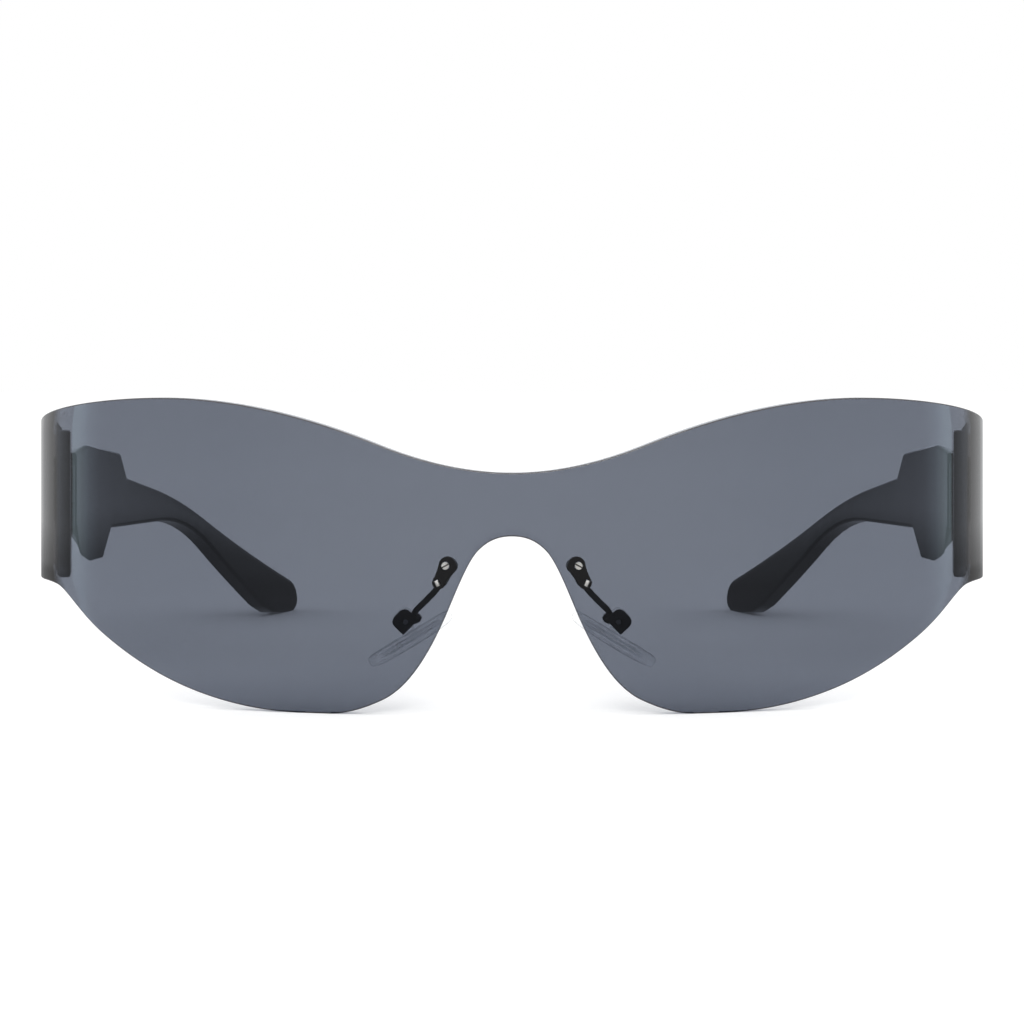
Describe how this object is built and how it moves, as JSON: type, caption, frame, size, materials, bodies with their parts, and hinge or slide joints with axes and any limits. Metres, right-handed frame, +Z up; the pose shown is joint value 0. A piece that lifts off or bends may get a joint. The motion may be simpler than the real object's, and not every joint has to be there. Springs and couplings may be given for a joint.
{
  "type": "sunglasses",
  "caption": "Wraparound rimless sunglasses with one shield lens, folding temples and rocking nose pads on brackets.",
  "frame": {"origin": "On the table, below the middle of the bounding box, with the temples open.", "axes": "+Z up; the wearer looks towards -Y; +X is the wearer's left, which is on the right seen from the front."},
  "size_m": [0.151, 0.1588, 0.0464],
  "materials": {
    "lens_grey": "clear grey tint, polished",
    "black_gloss": "polished black",
    "black_metal": "satin black",
    "bright_metal": "bright",
    "clear_core": "clear, stiff",
    "clear_silicone": "clear, soft"
  },
  "bodies": {
    "front": {"shield_lens": "lens_grey", "left_endpiece": "black_gloss", "left_front_leaf": "black_metal", "left_hinge_screw": "black_metal", "left_washer_plate": "black_metal", "left_bracket_screw": "bright_metal", "left_bracket_peg": "bright_metal", "left_pad_bracket": "black_metal", "left_pad_screw": "bright_metal", "right_endpiece": "black_gloss", "right_front_leaf": "black_metal", "right_hinge_screw": "black_metal", "right_washer_plate": "black_metal", "right_bracket_screw": "bright_metal", "right_bracket_peg": "bright_metal", "right_pad_bracket": "black_metal", "right_pad_screw": "bright_metal"},
    "left_temple": {"left_temple": "black_gloss", "left_temple_leaf": "black_metal"},
    "left_nose_pad": {"left_nose_pad": "clear_silicone", "left_pad_core": "clear_core"},
    "right_temple": {"right_temple": "black_gloss", "right_temple_leaf": "black_metal"},
    "right_nose_pad": {"right_nose_pad": "clear_silicone", "right_pad_core": "clear_core"}
  },
  "joints": [
    {"name": "left_temple_hinge", "type": "hinge", "parent": "front", "child": "left_temple", "pos_m": [0.07171, -0.04287, 0.03027], "axis": [0, 0, 1], "range_deg": [0, 86]},
    {"name": "left_pad_rock", "type": "hinge", "parent": "front", "child": "left_nose_pad", "pos_m": [0.0159, -0.07011, 0.013], "axis": [0, 1, 0], "range_deg": [-8, 8]},
    {"name": "right_temple_hinge", "type": "hinge", "parent": "front", "child": "right_temple", "pos_m": [-0.07171, -0.04287, 0.03027], "axis": [0, 0, -1], "range_deg": [0, 77]},
    {"name": "right_pad_rock", "type": "hinge", "parent": "front", "child": "right_nose_pad", "pos_m": [-0.0159, -0.07011, 0.013], "axis": [0, -1, 0], "range_deg": [-8, 8]}
  ]
}
